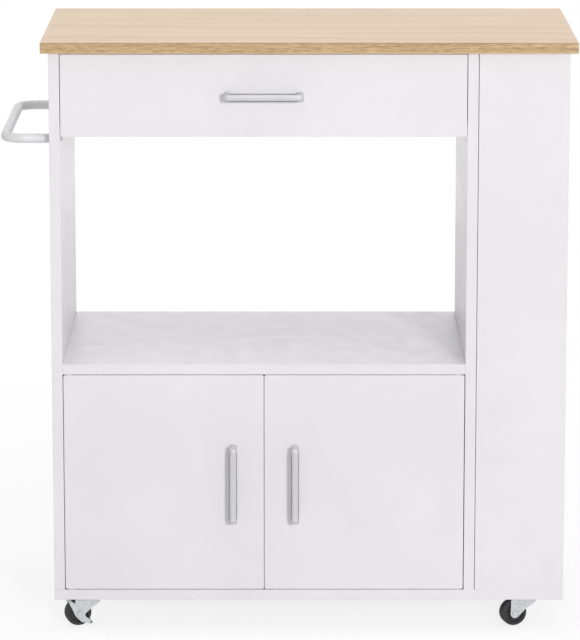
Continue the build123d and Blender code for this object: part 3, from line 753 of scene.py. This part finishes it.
def modelHandle():
    # lies along x with its feet on the plane y = 0, and stands out towards -y
    half = handle["length"] / 2
    footStart = half - handle["foot"]
    front = -handle["reach"]
    barBack = front + handle["bar"]
    piece = startShape(
        "bowHandle", bpy.ops.mesh.primitive_cube_add, size=1,
        location=(0, (front + barBack) / 2, 0),
        scale=(handle["length"], handle["bar"], handle["width"]))
    for side in (-1, 1):  # where the feet start
        bpy.ops.mesh.select_all(action="SELECT")
        bpy.ops.mesh.bisect(plane_co=(side * footStart, 0, 0), plane_no=(1, 0, 0))
    pickFaces(piece, lambda centre, normal: normal.y > aligned and abs(centre.x) > footStart)
    bpy.ops.mesh.extrude_region_move(
        TRANSFORM_OT_translate={"value": (0, handle["spare"] - barBack, 0)})
    pickEdges(piece, lambda middle, along, normals: (
        abs(along.z) > aligned and middle.y < front + tiny and abs(middle.x) > half - tiny))
    roundEdges(handle, "outer")
    pickEdges(piece, lambda middle, along, normals: (
        abs(along.z) > aligned and abs(middle.y - barBack) < tiny
        and abs(abs(middle.x) - footStart) < tiny))
    roundEdges(handle, "inner")

    def onFront(point):
        # on the outer outline of the bow, seen from the side
        return point.y < (front + barBack) / 2 or abs(point.x) > (footStart + half) / 2

    def onOutline(normals):
        # between a flat side of the bow and its front or back
        return len(normals) == 2 and abs(abs(normals[0].z) - abs(normals[1].z)) > aligned

    for part in ("front", "back"):  # the front is crowned and the back only broken
        pickEdges(piece, lambda middle, along, normals: (
            middle.y < handle["spare"] - tiny and onOutline(normals)
            and onFront(middle) == (part == "front")))
        roundEdges(handle, part)
    bpy.ops.mesh.select_all(action="SELECT")
    bpy.ops.mesh.bisect(
        plane_co=(0, 0, 0), plane_no=(0, 1, 0), clear_outer=True, use_fill=True)
    return endShape(piece, handle["smoothAngle"])


bowHandle = modelHandle()
for name, body in handle["bodies"].items():
    middle = middleOf(name)
    middle.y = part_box(name)[1][1]
    turn, metal = Matrix(), finishes["satin_aluminium"]
    if body != "drawer":
        turn, metal = Matrix.Rotation(math.radians(90), 4, "Y"), uprightAluminium
    grip = copyTo(bowHandle, name + "_grip", Matrix.Translation(middle) @ turn)
    finish(grip, body, "satin_aluminium", metal, name)
bpy.data.objects.remove(bowHandle)
print("handles modelled")


wheel = {
    "corners": ("front_left", "front_right", "rear_left", "rear_right"),
    "facets": 96,
    "radius": 0.020,
    "width": 0.016,
    "shoulderRound": 0.0020,
    "shoulderSegments": 6,
    "recessOuter": 0.0145,
    "recessInner": 0.0080,
    "recessDepth": 0.0025,
    "wallSlope": 0.0006,
    "ribs": 6,
    "ribShare": 0.125,  # of the way from one rib to the next
    "ribHeight": 0.0017,
    "hubRadius": 0.0055,
    "hubSlope": 0.0002,
    "hubStand": 0.0008,
    "bore": 0.00306,
    "treadStart": 0.0175,
    "treadBlend": 0.0025,
    "restTurn": 197,
    "smoothAngle": 28,
}


def markTread(piece):
    # 1 on the running surface, 0 on the sides, for the dust in the finish
    tread = piece.data.attributes.new("tread", "FLOAT", "POINT")
    for vert in piece.data.vertices:
        out = (math.hypot(vert.co.x, vert.co.y) - wheel["treadStart"]) / wheel["treadBlend"]
        tread.data[vert.index].value = min(1, max(0, out))


def modelWheel():
    # axle along z; every step is done on both sides at once
    half = wheel["width"] / 2
    slope, hubSlope = wheel["wallSlope"], wheel["hubSlope"]
    web = half - wheel["recessDepth"]
    piece = startShape(
        "casterWheel", bpy.ops.mesh.primitive_cylinder_add, vertices=wheel["facets"],
        radius=wheel["radius"], depth=wheel["width"])
    pickEdges(piece, lambda middle, along, normals: abs(abs(middle.z) - half) < tiny)
    roundEdges(wheel, "shoulder")
    pickFaces(piece, lambda centre, normal: (
        abs(normal.z) > aligned and centre.length < half + tiny))
    rings = (  # from the tread to the hub: how far in and how far out
        (wheel["radius"] - wheel["shoulderRound"] - wheel["recessOuter"], 0),
        (slope, -wheel["recessDepth"]),
        (wheel["recessOuter"] - wheel["recessInner"] - 2 * slope, 0),
        (slope, wheel["recessDepth"]),
        (wheel["recessInner"] - wheel["hubRadius"] - slope, 0),
        (hubSlope, wheel["hubStand"]),
        (wheel["hubRadius"] - hubSlope - wheel["bore"], 0),
    )
    for thickness, rise in rings:
        bpy.ops.mesh.inset(thickness=thickness, depth=rise, use_even_offset=True)
    bpy.ops.mesh.bridge_edge_loops()  # the bore for the axle
    gap = 2 * math.pi / wheel["ribs"]
    ribWidth = gap * wheel["ribShare"]

    def onRib(centre, normal):
        radius = math.hypot(centre.x, centre.y)
        angle = math.atan2(centre.y, centre.x) % gap
        onWeb = abs(normal.z) > aligned and abs(abs(centre.z) - web) < tiny
        between = wheel["recessInner"] < radius < wheel["recessOuter"]
        return onWeb and between and min(angle, gap - angle) < ribWidth / 2

    for side in (-1, 1):
        pickFaces(piece, lambda centre, normal: centre.z * side > 0 and onRib(centre, normal))
        bpy.ops.mesh.extrude_region_move(
            TRANSFORM_OT_translate={"value": (0, 0, side * wheel["ribHeight"])})
    endShape(piece, wheel["smoothAngle"])
    markTread(piece)
    return piece


casterWheel = modelWheel()
turned = Matrix.Rotation(math.radians(wheel["restTurn"]), 4, "Z")  # casters at rest
standing = turned @ Matrix.Rotation(math.radians(90), 4, "X")
for corner in wheel["corners"]:
    name = corner + "_wheel"
    piece = copyTo(casterWheel, name + "_tyre", Matrix.Translation(middleOf(name)) @ standing)
    finish(piece, name, "black_plastic", finishes["black_plastic"], name)
bpy.data.objects.remove(casterWheel)
print("wheels modelled")


toeBar = {
    "corners": ("front_left", "rear_right"),
    "facets": 40,
    "radius": 0.00246,
    "across": 0.0251,
    "endRound": 0.0007,
    "endSegments": 5,
    "offset": (-0.018, 0, -0.0148),  # from the wheel's middle
    "smoothAngle": 40,
    # painted shade: both tones are dark, for the shadow the bar lies in under the brake plate
    "light": shade(150, 151, 155),
    "dark": shade(112, 113, 117),
    "mottle": (420, 3, 0.6),
    "mottleEase": (0.35, 0.7),
    "metal": 0.8,
    "roughness": 0.34,
    "mottleRoughness": 0.2,
    "bump": 0.00001,
}


def shadedZinc():
    # the bar under the foot, darker than the pressed sheet: painted shade, with a mottle of tone
    # in it
    material, recipe = newMaterial("shadedZinc")
    mottle = recipe.noise(recipe.place(), *toeBar["mottle"])
    share = recipe.ease(mottle, *toeBar["mottleEase"])
    colour = recipe.blend(share, toeBar["dark"], toeBar["light"])
    rough = toeBar["roughness"] + toeBar["mottleRoughness"] * mottle
    normal = recipe.bump(mottle, toeBar["bump"])
    return dress(
        material, recipe, Base_Color=colour, Metallic=toeBar["metal"], Roughness=rough,
        Normal=normal)


def modelToeBar():
    half = toeBar["across"] / 2
    piece = startShape(
        "toeBar", bpy.ops.mesh.primitive_cylinder_add, vertices=toeBar["facets"],
        radius=toeBar["radius"], depth=toeBar["across"])
    pickEdges(piece, lambda middle, along, normals: abs(abs(middle.z) - half) < tiny)
    roundEdges(toeBar, "end")
    return endShape(piece, toeBar["smoothAngle"])


shadedToeSteel = shadedZinc()
plainBar = modelToeBar()
for corner in toeBar["corners"]:
    middle = middleOf(corner + "_wheel") + turned @ Vector(toeBar["offset"])
    piece = copyTo(plainBar, corner + "_toe_bar", Matrix.Translation(middle) @ standing)
    finish(piece, corner + "_brake", "zinc_steel", shadedToeSteel)
bpy.data.objects.remove(plainBar)
print("toe bars modelled")


floorPlan = {
    "size": 120,
    "grey": 0.80,
    "lit": 1.22,  # brighter for the camera, so that the floor shows white
    "near": 0.5,
    "far": 2.0,
    "least": 0.8,  # how much of the shadow is washed out beside the object
}


def grey(level):
    return (level, level, level, 1)


def seenBy(recipe):
    # 1 for the rays that show the surroundings: camera, mirror and glass
    camera = recipe.node("ShaderNodeLightPath", output="Is Camera Ray")
    path = camera.socket.node
    mirror, glass = [
        Wire(recipe, path.outputs[name]) for name in ("Is Glossy Ray", "Is Transmission Ray")]
    return camera, (camera + mirror + glass) > 0.5


def emptyRecipe(tree):
    for node in list(tree.nodes):
        tree.nodes.remove(node)
    return Recipe(tree)


def layFloor():
    bpy.ops.object.select_all(action="DESELECT")
    bpy.ops.mesh.primitive_plane_add(size=floorPlan["size"])
    floor = bpy.context.object
    floor.name = "studio_floor"
    material = newMaterial("paleFloor")[0]
    recipe = emptyRecipe(material.node_tree)
    away = recipe.node(
        "ShaderNodeVectorMath", {"operation": "LENGTH"}, {0: recipe.place()}, output="Value")
    camera, seen = seenBy(recipe)
    colour = recipe.blend(camera, grey(floorPlan["grey"]), grey(floorPlan["lit"]))
    lit = recipe.node("ShaderNodeBsdfDiffuse", inputs={"Color": colour})
    white = recipe.node("ShaderNodeEmission", inputs={"Color": grey(1), "Strength": 1.0})
    least = floorPlan["least"]
    far = recipe.ease(away, floorPlan["near"], floorPlan["far"])
    share = (least + (1 - least) * far) * seen
    mixed = recipe.node("ShaderNodeMixShader", inputs={0: share, 1: lit, 2: white})
    recipe.end("ShaderNodeOutputMaterial", mixed)
    floor.data.materials.append(material)


sky = {
    "level": 0.50,
    "studioGrey": 0.62,
    "behind": (-0.45, 0.25),  # how far towards +y the studio behind the camera fades out
}


def hangSky():
    # an even white surround; mirrors see it darker behind the camera, where the studio is
    world = bpy.data.worlds.new("studioSky")
    scene.world = world
    world.use_nodes = True
    recipe = emptyRecipe(world.node_tree)
    camera, seen = seenBy(recipe)
    towards = recipe.parts(recipe.node("ShaderNodeTexCoord", output="Generated"))[1]
    behind = (1 - recipe.ease(towards, *sky["behind"])) * (1 - camera)
    colour = recipe.blend(behind, grey(1), grey(sky["studioGrey"]))
    plain = recipe.node(
        "ShaderNodeBackground", inputs={"Color": grey(1), "Strength": sky["level"]})
    shown = recipe.node("ShaderNodeBackground", inputs={"Color": colour, "Strength": 1.0})
    mixed = recipe.node("ShaderNodeMixShader", inputs={0: seen, 1: plain, 2: shown})
    recipe.end("ShaderNodeOutputWorld", mixed)


lampTarget = (0, 0, 0.45)
lamps = {
    "keyLamp": {"place": (1.9, -7.0, 2.3), "size": 0.9, "power": 205},
    "topLamp": {"place": (0.2, -0.6, 3.4), "size": 2.6, "power": 16},
    "backLamp": {"place": (0.1, 3.2, 1.0), "size": 3.0, "power": 17},
}


def setLamp(name, place, size, power):
    light = bpy.data.lights.new(name, "AREA")
    light.shape = "SQUARE"
    light.size = size
    light.energy = power
    holder = bpy.data.objects.new(name, light)
    scene.collection.objects.link(holder)
    holder.location = place
    aim = Vector(lampTarget) - holder.location
    holder.rotation_euler = aim.to_track_quat("-Z", "Y").to_euler()


view = {
    "side": 0.0036,
    "back": 5.8,
    "height": 1.6807,
    "pitch": 11.347,
    "sensor": 36,
    "lens": 214.3,
    "shift": -0.065,
    "clipEnd": 200,
}


def setCamera():
    camera = bpy.data.cameras.new("viewCamera")
    camera.sensor_width = view["sensor"]
    camera.lens = view["lens"]
    camera.shift_y = view["shift"]
    camera.clip_end = view["clipEnd"]
    holder = bpy.data.objects.new("viewCamera", camera)
    scene.collection.objects.link(holder)
    place = Matrix.Translation((view["side"], -view["back"], view["height"]))
    holder.matrix_world = place @ Matrix.Rotation(math.radians(90 - view["pitch"]), 4, "X")
    scene.camera = holder


layFloor()
hangSky()
for lampName, lamp in lamps.items():
    setLamp(lampName, **lamp)
setCamera()
print("floor, lights and camera set")
